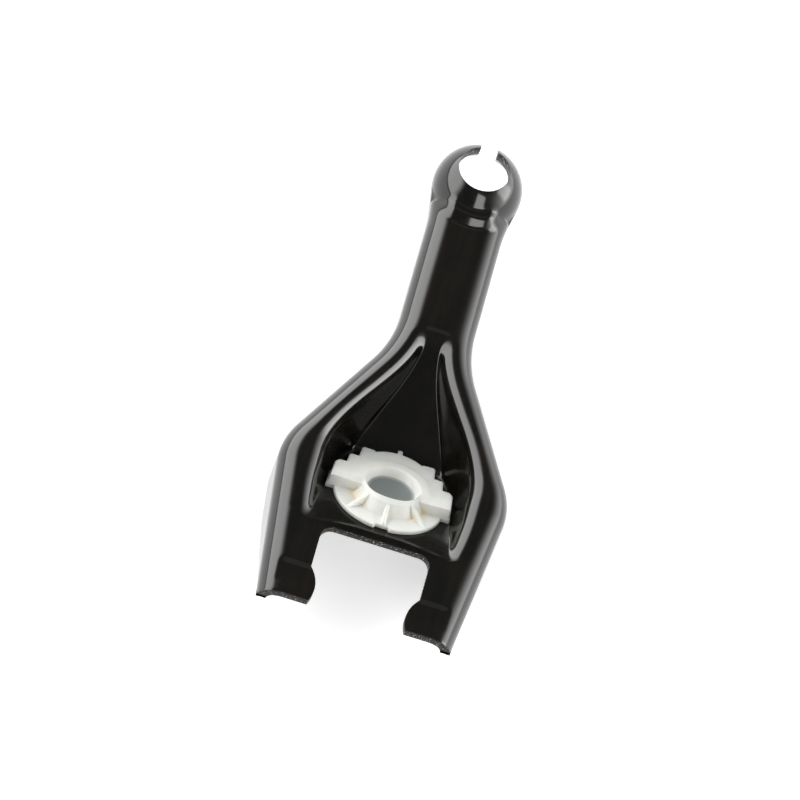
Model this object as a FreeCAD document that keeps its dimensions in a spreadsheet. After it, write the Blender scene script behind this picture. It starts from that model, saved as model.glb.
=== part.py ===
import FreeCAD, Part
import math
import os
import re
import Sketcher

# Clutch release fork pressed from one steel sheet, with the nylon ball seat
# that snaps into its web.  Millimetres.  In the sheet's own sizes Y runs from
# the prong tips (0) to the cable dome, X is across and Z is up; the sub-parts
# are then placed so that the origin is under the middle of the whole fork.

V = FreeCAD.Vector
doc = FreeCAD.newDocument("clutch_fork")
sheet = doc.addObject("Spreadsheet::Sheet", "sizes")

SIZES = [
    ("sheet_thick", 3.5, "steel sheet"),
    ("top_height", 28.0, "top face above the lowest flange edge"),
    ("tip_half", 35.3, "half width across the prong tips"),
    ("shoulder_half", 42.3, "half width at the sharp shoulder corner"),
    ("shoulder_y", 61.6, "shoulder corner from the tips"),
    ("shoulder_round", 25.0, "plan radius of the shoulder"),
    ("arm_half", 13.8, "half width of the arm"),
    ("waist_y", 112.9, "corner where the flank meets the arm"),
    ("waist_round", 44.0, "plan radius of the waist"),
    ("edge_round", 8.5, "outer radius between top face and flange"),
    ("neck_round", 60.0, "plan radius where the arm flares into the dome"),
    ("dome_y", 181.5, "dome axis from the tips"),
    ("dome_radius", 16.3, "outer radius of the dome"),
    ("dome_drop", 6.5, "dome centre below the top face"),
    ("eye_radius", 9.3, "cable hole in the dome"),
    ("eye_shift", 1.2, "cable hole beyond the dome's axis"),
    ("slot_width", 6.5, "cable slot through the far wall of the dome"),
    ("arm_depth", 15.0, "flange depth along the arm"),
    ("tip_depth", 6.6, "flange depth at the prong tips"),
    ("belly_start", 38.0, "flange reaches full depth"),
    ("belly_end", 96.0, "flange leaves full depth"),
    ("arm_start", 130.0, "flange has the arm's depth from here on"),
    ("dome_start", 166.0, "flange begins to rise towards the dome"),
    ("dome_end", 188.0, "flange has the dome's depth from here on"),
    ("dome_depth", 4.0, "flange depth at the far end of the dome"),
    ("notch_half", 19.8, "half width of the notch between the prongs"),
    ("notch_depth", 30.2, "notch bottom from the tips"),
    ("notch_round", 4.5, "notch corner radius"),
    ("pad_half", 16.5, "half gap between the two prong pads"),
    ("pad_y", 5.0, "widest place of a pad from the tips"),
    ("pad_round", 11.6, "plan radius of a pad's inner edge"),
    ("seat_y", 33.0, "near edge of the sunk seat"),
    ("seat_step", 1.0, "step down at the near edge of the seat"),
    ("seat_tilt", 28.0, "tilt of the seat, degrees"),
    ("apex_y", 118.0, "far end of the sunk web"),
    ("apex_half", 5.4, "half width of the web's far end"),
    ("valley_depth", 23.5, "deepest line of the web under the top face"),
    ("valley_y", 75.5, "deepest line of the web from the tips"),
    ("rim_half", 32.6, "half width of the recess at its corner"),
    ("rim_y", 64.8, "recess corner from the tips"),
    ("rim_near_half", 30.8, "half width of the recess at its near edge"),
    ("floor_half", 25.3, "half width of the seat's floor"),
    ("floor_y", 57.0, "where that half width is measured"),
    ("web_half", 17.5, "half width of the web near the valley"),
    ("web_y", 78.5, "where that half width is measured"),
    ("wall_round", 3.0, "radius at the foot of the recess walls"),
    ("ball_y", 55.5, "seat axis meets the seat face, from the tips"),
    ("web_hole_radius", 10.6, "hole in the seat for the bush's spigot"),
    ("bush_gap", 0.15, "radial gap between spigot and hole"),
    ("flange_radius", 20.0, "bush flange"),
    ("flange_thick", 1.8, "bush flange"),
    ("bush_height", 7.0, "top of the bush above the seat face"),
    ("collar_radius", 11.6, "outside of the bush collar"),
    ("mouth_radius", 10.0, "mouth of the ball cup at the top"),
    ("cup_radius", 8.7, "straight part of the ball cup"),
    ("cup_depth", 6.2, "straight part below the mouth's chamfer"),
    ("spigot_length", 4.7, "spigot below the seat face"),
    ("lip_radius", 11.0, "snap lip behind the web"),
    ("lip_thick", 1.0, "snap lip behind the web"),
    ("rib_thick", 1.5, "gussets between collar and flange"),
    ("wing_half", 21.0, "half span over the two side wings"),
    ("wing_near", 3.2, "wings reach this far towards the prongs"),
    ("wing_far", 5.6, "wings reach this far towards the arm"),
    ("step_half", 17.2, "half width at the middle step"),
    ("step_far", 11.4, "far edge of the middle step"),
    ("tooth_outer", 14.2, "outer edge of the far tooth"),
    ("tooth_inner", 9.0, "inner edge of the far tooth"),
    ("tooth_far", 18.0, "far edge of the far tooth"),
    ("crown_radius", 13.9, "round far edge between the teeth"),
    ("crown_y", 6.5, "centre of that round edge from the axis"),
    ("gate_width", 1.5, "moulding gate stub"),
    ("gate_reach", 22.6, "moulding gate stub from the axis"),
    ("key_width", 5.6, "key notch in the flange"),
    ("key_depth", 0.9, "key notch in the flange"),
    ("rib_inset", 0.6, "gussets stop this far inside the flange"),
    ("rib_toe", 0.2, "height of a gusset's outer end over the flange"),
    ("rib_drop", 0.8, "gussets stop this far under the collar's top"),
    ("dish_edge", 2.2, "depth of the cup's floor at half its radius"),
    ("dish_depth", 2.6, "depth of the cup's floor in the middle"),
    ("overlap", 1.0, "how far joined or cut forms run into each other"),
    ("overrun", 20.0, "how far cutting forms run out of the sheet"),
]

for row, (name, size, note) in enumerate(SIZES, start=1):
    sheet.set("A%d" % row, note)
    sheet.set("B%d" % row, str(size))
    sheet.setAlias("B%d" % row, name)
doc.recompute()


def size(name):
    """The plain number behind one alias of the sheet."""
    return float(sheet.get(name))


def bound(formula):
    """The formula with the sheet's name before each alias."""
    names = "|".join(name for name, _, _ in SIZES)
    return re.sub(r"\b(%s)\b" % names, r"sizes.\1", formula)


def bind(target, prop, formula):
    """Bind one property of an object to a formula of the sheet's aliases."""
    target.setExpression(prop, bound(formula))


# ---------------------------------------------------------------- pressing
FAR = 300.0          # larger than the fork, for half spaces and cutting prisms
NEAR_ZERO = 0.5      # lengths under this count as none when edges are sorted


def corner(before, at, after, radius):
    """Tangent points and middle point of an arc that rounds a plan corner."""
    to_before = (before - at).normalize()
    to_after = (after - at).normalize()
    half = to_before.getAngle(to_after) / 2.0
    reach = radius / math.tan(half)
    bisector = (to_before + to_after).normalize()
    centre = at + bisector * (radius / math.sin(half))
    middle = centre - bisector * radius
    return at + to_before * reach, middle, at + to_after * reach


def half_outline():
    """Right-hand outline from beyond the tips to inside the dome, as edges."""
    tip = V(size("tip_half"), 0, 0)
    shoulder = V(size("shoulder_half"), size("shoulder_y"), 0)
    slope = (tip.x - shoulder.x) / (shoulder.y - tip.y)
    start = V(tip.x + slope * size("overrun"), -size("overrun"), 0)
    waist = V(size("arm_half"), size("waist_y"), 0)
    flare = size("neck_round")
    reach = size("dome_radius") + flare
    flare_y = size("dome_y") - math.sqrt(reach ** 2 - (size("arm_half") + flare) ** 2)
    neck = V(size("arm_half"), flare_y, 0)
    touch = V(0, size("dome_y"), 0) + (V(neck.x + flare, flare_y, 0) - V(0, size("dome_y"), 0)) * (
        size("dome_radius") / reach)
    turn = math.asin((touch.y - flare_y) / flare)
    bow = V(neck.x + flare - flare * math.cos(turn / 2), flare_y + flare * math.sin(turn / 2), 0)
    s_in, s_mid, s_out = corner(start, shoulder, waist, size("shoulder_round"))
    w_in, w_mid, w_out = corner(shoulder, waist, neck, size("waist_round"))
    return [
        Part.LineSegment(start, s_in).toShape(),
        Part.Arc(s_in, s_mid, s_out).toShape(),
        Part.LineSegment(s_out, w_in).toShape(),
        Part.Arc(w_in, w_mid, w_out).toShape(),
        Part.LineSegment(w_out, neck).toShape(),
        Part.Arc(neck, bow, touch).toShape(),
    ]


def plan_face(inset):
    """Whole outline as a face, moved inward by inset, closed inside the dome."""
    right = half_outline()
    left = [e.mirror(V(0, 0, 0), V(1, 0, 0)) for e in right]
    first = right[0].Vertexes[0].Point
    last = right[-1].Vertexes[-1].Point
    ends = [
        Part.LineSegment(V(-first.x, first.y, 0), first).toShape(),
        Part.LineSegment(last, V(-last.x, last.y, 0)).toShape(),
    ]
    wire = Part.Wire(Part.__sortEdges__(right + left + ends))
    face = Part.Face(wire)
    if inset:
        face = face.makeOffset2D(-inset, join=2)
    return face


def half_space(point, normal, shift):
    """The side of a plane that its normal points to, grown backwards by shift."""
    unit = V(normal).normalize()
    box = Part.makeBox(2 * FAR, 2 * FAR, FAR, V(-FAR, -FAR, 0))
    box.Placement = FreeCAD.Placement(V(0, 0, 0), FreeCAD.Rotation(V(0, 0, 1), unit))
    box.translate(V(point) - unit * shift)
    return box


def plane_normal(first, second, third, inside):
    """Normal of the plane through three points, pointing to the inside point."""
    normal = (second - first).cross(third - first).normalize()
    return normal if normal.dot(inside - first) > 0 else normal * -1


def recess(grow):
    """Sunk seat and web: the convex space above them, grown by the sheet below."""
    top = size("top_height")
    floor_drop = (size("floor_y") - size("seat_y")) * math.tan(math.radians(size("seat_tilt")))
    floor_z = top - size("seat_step") - floor_drop
    web_rise = size("valley_depth") / (size("apex_y") - size("valley_y"))
    web_z = top - (size("apex_y") - size("web_y")) * web_rise
    middle = V(0, size("rim_y"), top)
    tilt = math.radians(size("seat_tilt"))
    space = half_space(V(0, size("seat_y"), top - size("seat_step")),
                       V(0, math.sin(tilt), math.cos(tilt)), grow)
    cuts = [
        half_space(V(0, size("apex_y"), top), V(0, -web_rise, 1), grow),
        half_space(V(0, size("seat_y"), top), V(0, 1, 1), grow),
    ]
    for side in (-1, 1):
        apex = V(side * size("apex_half"), size("apex_y"), top)
        rim = V(side * size("rim_half"), size("rim_y"), top)
        near = V(side * size("rim_near_half"), size("seat_y"), top)
        web = V(side * size("web_half"), size("web_y"), web_z)
        floor = V(side * size("floor_half"), size("floor_y"), floor_z)
        cuts.append(half_space(apex, plane_normal(apex, rim, web, middle), grow))
        cuts.append(half_space(rim, plane_normal(rim, near, floor, middle), grow))
    for cut in cuts:
        space = space.common(cut)
    lid = Part.makeBox(2 * FAR, 2 * FAR, FAR, V(-FAR, -FAR, top + size("overlap") - FAR))
    space = space.common(lid).removeSplitter()
    low = [e for e in space.Edges if e.BoundBox.ZMin < top - grow - NEAR_ZERO]
    return space.makeFillet(size("wall_round") + grow, low)


def form(inset):
    """Solid under the top face: inset 0 is the outside, the sheet's thickness the inside."""
    top = size("top_height") - inset
    prism = plan_face(inset).extrude(V(0, 0, top + FAR))
    prism.translate(V(0, 0, -FAR))
    rims = []
    for edge in prism.Edges:
        box = edge.BoundBox
        if box.ZMin > top - NEAR_ZERO and box.YLength > NEAR_ZERO:
            rims.append(edge)
    prism = prism.makeFillet(size("edge_round") - inset, rims)
    radius = size("dome_radius") - inset
    centre = V(0, size("dome_y"), size("top_height") - size("dome_drop"))
    ball = Part.makeSphere(radius, centre)
    skirt = Part.makeCylinder(radius, FAR, centre - V(0, 0, FAR), V(0, 0, 1))
    return prism.fuse([ball, skirt])


def side_prism(points):
    """Polygon in side view (Y, Z), run right across the fork."""
    wire = Part.makePolygon([V(-FAR / 2, y, z) for y, z in points + points[:1]])
    return Part.Face(wire).extrude(V(FAR, 0, 0))


outer = form(0.0).cut(recess(0.0))
inner = form(size("sheet_thick")).cut(recess(size("sheet_thick")))
pressing = outer.cut(inner)
top = size("top_height")
below = side_prism([
    (-FAR, -2 * FAR), (-FAR, top - size("tip_depth")), (0, top - size("tip_depth")),
    (size("belly_start"), 0), (size("belly_end"), 0),
    (size("arm_start"), top - size("arm_depth")), (size("dome_start"), top - size("arm_depth")),
    (size("dome_end"), top - size("dome_depth")), (FAR, top - size("dome_depth")),
    (FAR, -2 * FAR),
])
pressing = pressing.cut(below)
pressing = pressing.cut(side_prism([(-FAR, -FAR), (-FAR, FAR), (0, FAR), (0, -FAR)]))
blank = doc.addObject("Part::Feature", "pressed_sheet")
blank.Shape = pressing

# The notch between the prongs, its sides bulging in at the two pads
notch_box = doc.addObject("Part::Box", "notch_box")
bind(notch_box, "Length", "2 * notch_half")
bind(notch_box, "Width", "notch_depth + overrun")
notch_box.Height = FAR
bind(notch_box, "Placement.Base.x", "-notch_half")
bind(notch_box, "Placement.Base.y", "-overrun")
doc.recompute()
corners = []
for index, edge in enumerate(notch_box.Shape.Edges, start=1):
    if edge.BoundBox.ZLength > NEAR_ZERO and edge.BoundBox.YMin > 0:
        corners.append((index, size("notch_round"), size("notch_round")))
notch_slug = doc.addObject("Part::Fillet", "notch_slug")
notch_slug.Base = notch_box
notch_slug.Edges = corners
pads = []
for name, sign in (("left_pad", "-"), ("right_pad", "")):
    pad = doc.addObject("Part::Cylinder", name)
    bind(pad, "Radius", "pad_round")
    pad.Height = FAR
    bind(pad, "Placement.Base.x", sign + "(pad_half + pad_round)")
    bind(pad, "Placement.Base.y", "pad_y")
    pads.append(pad)
pad_pair = doc.addObject("Part::MultiFuse", "pad_pair")
pad_pair.Shapes = pads
notch = doc.addObject("Part::Cut", "notch")
notch.Base = notch_slug
notch.Tool = pad_pair

# Cable eye and slot in the dome
eye = doc.addObject("Part::Cylinder", "eye")
bind(eye, "Radius", "eye_radius")
eye.Height = FAR
bind(eye, "Placement.Base.y", "dome_y + eye_shift")
bind(eye, "Placement.Base.z", "top_height - dome_drop")
slot = doc.addObject("Part::Box", "slot")
bind(slot, "Length", "slot_width")
bind(slot, "Width", "2 * dome_radius")
slot.Height = FAR
bind(slot, "Placement.Base.x", "-slot_width / 2")
bind(slot, "Placement.Base.y", "dome_y")

# Hole through the seat, square to the tilted seat face
SEAT_Z = "(top_height - seat_step - (ball_y - seat_y) * tan(seat_tilt * 1 deg))"
web_hole = doc.addObject("Part::Cylinder", "web_hole")
bind(web_hole, "Radius", "web_hole_radius")
bind(web_hole, "Height", "2 * overrun")
tilted = FreeCAD.Rotation(V(1, 0, 0), -size("seat_tilt"))
web_hole.Placement = FreeCAD.Placement(V(0, 0, 0), tilted)
bind(web_hole, "Placement.Base.y", "ball_y - overrun * sin(seat_tilt * 1 deg)")
bind(web_hole, "Placement.Base.z", SEAT_Z + " - overrun * cos(seat_tilt * 1 deg)")

openings = doc.addObject("Part::MultiFuse", "openings")
openings.Shapes = [notch, eye, slot, web_hole]
fork_body = doc.addObject("Part::Cut", "fork_body")
fork_body.Base = blank
fork_body.Tool = openings
# The slot takes the dome's middle away, so the fork ends at the slot's corners
HALF_LENGTH = ("(dome_y + sqrt(dome_radius ^ 2 - (dome_drop - dome_depth) ^ 2"
               " - (slot_width / 2) ^ 2)) / 2")
bind(fork_body, "Placement.Base.y", "-" + HALF_LENGTH)

# ---------------------------------------------------------------- ball seat
bush = doc.addObject("PartDesign::Body", "pivot_bush")
planes = {f.Role: f for f in bush.Origin.OriginFeatures}


def new_sketch(name, role, lift="0"):
    """A sketch on one of the bush's origin planes, raised by a formula."""
    sketch = bush.newObject("Sketcher::SketchObject", name)
    sketch.AttachmentSupport = [(planes[role], "")]
    sketch.MapMode = "FlatFace"
    if lift != "0":
        bind(sketch, "AttachmentOffset.Base.z", lift)
    return sketch


def place_point(sketch, geo, end, across, up):
    """Tie one sketch point to the origin by two bound distances."""
    for kind, axis, formula in (("DistanceX", -2, across), ("DistanceY", -1, up)):
        if formula == "0":
            sketch.addConstraint(Sketcher.Constraint("PointOnObject", geo, end, axis))
        else:
            start = getattr(sketch.getPoint(geo, end), "x" if kind == "DistanceX" else "y")
            number = sketch.addConstraint(Sketcher.Constraint(kind, -1, 1, geo, end, start))
            bind(sketch, "Constraints[%d]" % number, formula)


def polygon(name, role, points, lift="0"):
    """Closed polygon whose corners are formulas of the sheet's sizes."""
    sketch = new_sketch(name, role, lift)
    spots = [V(number(x), number(y), 0) for x, y in points]
    count = len(points)
    for i in range(count):
        sketch.addGeometry(Part.LineSegment(spots[i], spots[(i + 1) % count]), False)
    for i in range(count):
        sketch.addConstraint(Sketcher.Constraint("Coincident", i, 2, (i + 1) % count, 1))
    for i, (x, y) in enumerate(points):
        place_point(sketch, i, 1, x, y)
    return sketch


def number(formula):
    """Value of a formula now, for the sketch's first guess."""
    return float(sheet.evalExpression(bound(formula)))


def disc(name, radius, across="0", up="0", lift="0"):
    """Circle sketch parallel to the seat plane."""
    sketch = new_sketch(name, "XY_Plane", lift)
    centre = V(number(across), number(up), 0)
    sketch.addGeometry(Part.Circle(centre, V(0, 0, 1), number(radius)), False)
    ring = sketch.addConstraint(Sketcher.Constraint("Radius", 0, number(radius)))
    bind(sketch, "Constraints[%d]" % ring, radius)
    place_point(sketch, 0, 3, across, up)
    return sketch


def pad_up(name, sketch, length, down=False):
    """Pad from the seat plane."""
    pad = bush.newObject("PartDesign::Pad", name)
    pad.Profile = sketch
    bind(pad, "Length", length)
    pad.Reversed = down
    return pad


pad_up("flange", disc("flange_outline", "flange_radius"), "flange_thick")
pad_up("collar", disc("collar_outline", "collar_radius"), "bush_height")
pad_up("crown", disc("crown_outline", "crown_radius", "0", "crown_y"), "bush_height")
pad_up("spigot", disc("spigot_outline", "web_hole_radius - bush_gap"), "spigot_length", True)
lip = disc("lip_outline", "lip_radius", lift="-spigot_length")
pad_up("snap_lip", lip, "lip_thick")
half = [
    ("wing_half", "-wing_near"), ("wing_half", "wing_far"), ("step_half", "wing_far"),
    ("step_half", "step_far"), ("tooth_outer", "step_far"), ("tooth_outer", "tooth_far"),
    ("tooth_inner", "tooth_far"), ("tooth_inner", "step_far"),
]
mirrored = [("-" + x, y) for x, y in reversed(half)]
pad_up("shelf", polygon("shelf_outline", "XY_Plane", half + mirrored), "bush_height")
gate = polygon("gate_outline", "XY_Plane", [
    ("-gate_width / 2", "tooth_far"), ("gate_width / 2", "tooth_far"),
    ("gate_width / 2", "gate_reach"), ("-gate_width / 2", "gate_reach"),
], "bush_height - gate_width")
pad_up("gate_stub", gate, "gate_width")
gusset_outline = polygon("gusset_outline", "YZ_Plane", [
    ("-(collar_radius - overlap)", "flange_thick / 2"),
    ("-(flange_radius - rib_inset)", "flange_thick / 2"),
    ("-(flange_radius - rib_inset)", "flange_thick + rib_toe"),
    ("-collar_radius", "bush_height - rib_drop"),
    ("-(collar_radius - overlap)", "bush_height - rib_drop"),
])
gusset = bush.newObject("PartDesign::Pad", "gusset")
gusset.Profile = gusset_outline
bind(gusset, "Length", "rib_thick")
gusset.Midplane = True
doc.recompute()
gussets = bush.newObject("PartDesign::PolarPattern", "gussets")
gussets.Originals = [gusset]
gussets.Axis = (planes["Z_Axis"], [""])
gussets.Angle = 360
gussets.Occurrences = 8
bush.Tip = gussets
doc.recompute()
key = polygon("key_outline", "XY_Plane", [
    ("-key_width / 2", "-flange_radius - overlap"), ("key_width / 2", "-flange_radius - overlap"),
    ("key_width / 2", "-flange_radius + key_depth"), ("-key_width / 2", "-flange_radius + key_depth"),
])
key_notch = bush.newObject("PartDesign::Pocket", "key_notch")
key_notch.Profile = key
bind(key_notch, "Length", "bush_height")
key_notch.Reversed = True
CUP_LOW = "bush_height - (mouth_radius - cup_radius) - cup_depth"
cup = polygon("cup_outline", "XZ_Plane", [
    ("0", "bush_height + overlap"), ("mouth_radius + overlap", "bush_height + overlap"),
    ("cup_radius", "bush_height - (mouth_radius - cup_radius)"), ("cup_radius", CUP_LOW),
    ("cup_radius / 2", CUP_LOW + " - dish_edge"), ("0", CUP_LOW + " - dish_depth"),
])
cavity = bush.newObject("PartDesign::Groove", "cavity")
cavity.Profile = cup
cavity.ReferenceAxis = (cup, ["V_Axis"])
cavity.Angle = 360
doc.recompute()
bush.Placement = FreeCAD.Placement(V(0, 0, 0), tilted)
bind(bush, "Placement.Base.y", "ball_y - " + HALF_LENGTH)
bind(bush, "Placement.Base.z", SEAT_Z)
doc.recompute()

# ---------------------------------------------------------------- output
for item in doc.Objects:
    if "Invalid" in item.State or "Error" in item.State:
        raise RuntimeError("%s: %s" % (item.Label, item.State))
os.makedirs("parts", exist_ok=True)
for node in (fork_body, bush):
    shape = node.Shape
    if shape.isNull() or not shape.isValid():
        raise RuntimeError("%s has no valid shape" % node.Label)
    box = shape.optimalBoundingBox(False)
    print(node.Label, len(shape.Solids), round(shape.Volume, 1), box)
    shape.exportStep("parts/%s.step" % node.Label)
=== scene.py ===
# %% [markdown]
# # A pressed clutch fork with a nylon ball seat
# The fork is one stamped steel sheet, painted gloss black, and the white bush
# is one nylon moulding snapped into its web.  Lengths in this script are in
# millimetres until a mesh is made, and the frame's own box says where the
# fork lies: its prong tips are at the low end of Y and its cable dome at the
# high end.

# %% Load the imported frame
import bpy
import bmesh
import math
import numpy as np
from mathutils import Matrix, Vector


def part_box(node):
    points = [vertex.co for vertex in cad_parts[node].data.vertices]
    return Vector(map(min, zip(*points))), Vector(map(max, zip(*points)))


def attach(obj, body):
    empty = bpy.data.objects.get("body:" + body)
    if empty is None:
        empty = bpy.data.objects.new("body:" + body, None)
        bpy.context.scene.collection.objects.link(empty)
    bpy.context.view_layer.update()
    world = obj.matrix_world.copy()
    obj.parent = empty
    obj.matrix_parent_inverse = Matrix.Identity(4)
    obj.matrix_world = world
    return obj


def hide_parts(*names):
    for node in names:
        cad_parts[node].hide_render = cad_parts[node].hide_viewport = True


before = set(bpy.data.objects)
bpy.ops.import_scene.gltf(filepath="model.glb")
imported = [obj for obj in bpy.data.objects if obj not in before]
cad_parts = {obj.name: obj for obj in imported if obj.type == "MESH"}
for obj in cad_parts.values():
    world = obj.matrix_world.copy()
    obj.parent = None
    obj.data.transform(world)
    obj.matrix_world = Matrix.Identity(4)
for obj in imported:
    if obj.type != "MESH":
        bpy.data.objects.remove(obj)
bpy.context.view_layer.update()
fork_low, fork_high = (np.array(c) * 1000.0 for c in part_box("fork_body"))
MM = 0.001
print("fork box in mm", fork_low, fork_high)

# %% [markdown]
# The real fork is drawn and trimmed from one flat blank, so a few sizes give
# all of it: the sheet's thickness, half widths at the tips, the shoulder and
# the arm, and the radii between them.  Places along the fork are measured from
# the prong tips.  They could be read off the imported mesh, but named sizes can
# be understood and changed.

# %% Sizes of the pressing
SHEET = 3.5
TIP_Y = fork_low[1]
TOP = 28.0
TIP_HALF, SHOULDER_HALF, ARM_HALF = 35.3, 42.3, 13.8
SHOULDER_Y, WAIST_Y, DOME_Y = 61.6, 112.9, 181.5
SHOULDER_R, WAIST_R, NECK_R = 25.0, 44.0, 60.0
EDGE_R = 8.5
DOME_R, DOME_Z, SLOT_HALF = 16.3, TOP - 6.5, 3.25
EYE_R, EYE_Y = 9.3, DOME_Y + 1.2
NOTCH_HALF, NOTCH_Y, NOTCH_R = 19.8, 30.2, 4.5
PAD_HALF, PAD_Y, PAD_R = 16.5, 5.0, 11.6
SEAT_TILT, BALL_Y = math.radians(28.0), 55.5
SEAT_SLOPE = math.tan(SEAT_TILT)
SEAT_Y, SEAT_STEP = 33.0, 1.0
APEX_Y, WEB_SLOPE = 118.0, 23.5 / 42.5
NEAR_SLOPE = 1.3
RIM_NECK, RIM_SPREAD, RIM_RUN = 3.8, 24.0, 57.7
RIM_BOW, BOW_Y = 0.0055, 53.0
WEB_NECK, WEB_WIDE, WEB_Y, WEB_CLOSE = 3.2, 17.0, 78.0, 0.49
SEAT_WIDE, SEAT_END, SEAT_END_Y, SEAT_CLOSE = 23.8, 17.0, 79.5, 1.1
FOLD_R, WALL_TILT = 7.0, math.radians(74.0)
PAD_STEP, TIP_RISE, COLLAR_RISE = 0.55, 0.25, 2.9
ARM_END_Y = 171.0
print("length", round(fork_high[1] - fork_low[1], 1))

# %% [markdown]
# A pressing keeps its thickness, so both faces of the sheet follow the same
# rules, one an even distance inside the other.  Soft maxima and minima of a
# few planes give the folds their radii, as a die does.  A boolean of solids
# would leave them knife sharp.

# %% Soft folds between planes
def soft_max(a, b, width):
    """Larger of a and b, with a parabola of the given width across the fold."""
    share = np.clip(0.5 + 0.5 * (a - b) / width, 0.0, 1.0)
    return b + (a - b) * share + width * share * (1.0 - share)


def soft_min(a, b, width):
    """Smaller of a and b, rounded in the same way."""
    return -soft_max(-a, -b, width)


def ease(x, start, end):
    """0 before start, 1 after end, and a smooth cubic between them."""
    t = np.clip((x - start) / (end - start), 0.0, 1.0)
    return t * t * (3.0 - 2.0 * t)


print("fold check", soft_max(np.array([0.0, 2.0]), 0.0, 1.0))

# %% [markdown]
# Between its two legs the sheet is sunk: a web slopes down from the arm, a
# seat slopes the other way under the ball bush, and steep walls join both to
# the rim.  It could be sculpted or cut out, but each of these is a plain slope
# or a circle in section, so its height is a formula over the plan.

# %% The sunk seat and web, as heights over the plan
def rim_half(y):
    """Half width of the recess at the top face: a smooth step out from the apex, then a bow."""
    spread = RIM_SPREAD * ease(APEX_Y - y, 0.0, RIM_RUN)
    return RIM_NECK + spread - RIM_BOW * np.maximum(BOW_Y - y, 0.0) ** 2


def web_half(y):
    """Half width of the web's flat: a narrow neck that opens in a straight line."""
    return soft_max(WEB_NECK, WEB_WIDE - WEB_CLOSE * (y - WEB_Y), 2.2)


def seat_half(y):
    """Half width of the seat's floor: straight sides that close towards the web."""
    return soft_min(SEAT_WIDE, SEAT_END - SEAT_CLOSE * (y - SEAT_END_Y), 4.0)


def lowered(height, slope, inset):
    """A sloping surface moved an even distance to its underside: z - inset * sqrt(1 + slope ** 2)."""
    return height - inset * np.sqrt(1.0 + slope * slope)


def pan_height(y, x, inset):
    """Bottom of the recess: the soft maximum of the seat, the web and the near slope."""
    seat = lowered(TOP - SEAT_STEP - SEAT_SLOPE * (y - SEAT_Y), SEAT_SLOPE, inset)
    web = lowered(TOP - WEB_SLOPE * (APEX_Y - y), WEB_SLOPE, inset)
    near = lowered(TOP - NEAR_SLOPE * (y - SEAT_Y + 1.6 * ease(x, 6.0, 26.0)), NEAR_SLOPE, inset)
    return soft_max(soft_max(seat, web, 1.6 + 0.5 * inset), near, 0.7)


def wall_height(x, y, inset):
    """Walls of the recess: a circle of FOLD_R from the top face, then a straight side at WALL_TILT."""
    radius = FOLD_R - inset
    inward = rim_half(y) + 5.0 - x
    turned = np.clip(inward, 0.0, radius * math.sin(WALL_TILT))
    side = math.tan(WALL_TILT) * np.maximum(inward - turned, 0.0) * (inward > 0)
    return TOP - FOLD_R + np.sqrt(radius * radius - turned * turned) - side


print("half widths of the recess at its rim", np.round(rim_half(np.array([40.0, 80.0, 110.0])), 1))

# %% [markdown]
# From above the fork is a flat top that turns down to a flange all round, with
# a ball-shaped dome at the arm's end and a small step on each prong's pad.  A
# bevel on a solid would give the turned edge but not the dome's soft joint, so
# the face takes the higher or the lower of several surfaces, with a soft fold
# where they meet.

# %% The top face, its rounded edge and the dome
def top_height(x, y, edge, inset):
    """Height of the sheet's face at plan points a given distance from the outline.

    The flat top turns down to the flange on a circle of EDGE_R, the dome is a
    sphere behind a low collar, and the recess is cut in last.
    """
    radius = EDGE_R - inset
    level = TOP - inset
    pad = PAD_STEP * ease(y, 14.4, 11.2) - TIP_RISE * ease(y, 5.6, 3.2)
    pad = pad * ease(np.abs(x), 31.5, 29.0)
    reach = np.hypot(x, y - DOME_Y)
    near_side = ease(y, DOME_Y, DOME_Y - 6.0) * ease(np.abs(x), 13.0, 6.0)
    collar = COLLAR_RISE * ease(reach, 20.5, 15.6) * near_side
    depth = radius - np.clip(edge, 0.0, radius)
    face = level - pad + collar - radius + np.sqrt(np.maximum(radius ** 2 - depth ** 2, 0.0))
    face = face - 1.5 * np.maximum(y - ARM_END_Y, 0.0)
    ball_r = DOME_R - inset
    ball = DOME_Z + np.sqrt(np.maximum(ball_r ** 2 - reach ** 2, 0.0))
    ball = ball - 2.0 * np.maximum(reach - ball_r, 0.0)
    face = soft_max(face, ball, 1.3 + 0.4 * inset)
    x = np.abs(x)
    wall = soft_min(face, wall_height(x, y, inset), 0.5)
    pan = soft_min(face, pan_height(y, x, inset), 0.9)
    wide = 6.0 - 3.6 * ease(y, 66.0, 78.0)
    fold = wide * (0.25 + 0.75 * ease(y, 36.0, 47.0)) + 0.4 * inset
    return np.minimum(face, soft_max(pan, wall, fold))


print("height of the arm's top", float(top_height(np.array(0.0), np.array(145.0), np.array(14.0), 0.0)))


# %% [markdown]
# The plan of the fork is two curves: the outline, where the flange stands, and
# the inner edge, which runs round the prong pads and the notch, up the middle
# line and round the cable eye.  Each row of the mesh joins one point of the
# inner edge to one point of the outline.

# %% Outline of one half, at a given inset
def arc(centre, radius, start, end, count):
    """Points on a circle from one angle to another, angles in radians."""
    angle = np.linspace(start, end, count)
    return np.stack([centre[0] + radius * np.cos(angle), centre[1] + radius * np.sin(angle)], 1)


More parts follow.
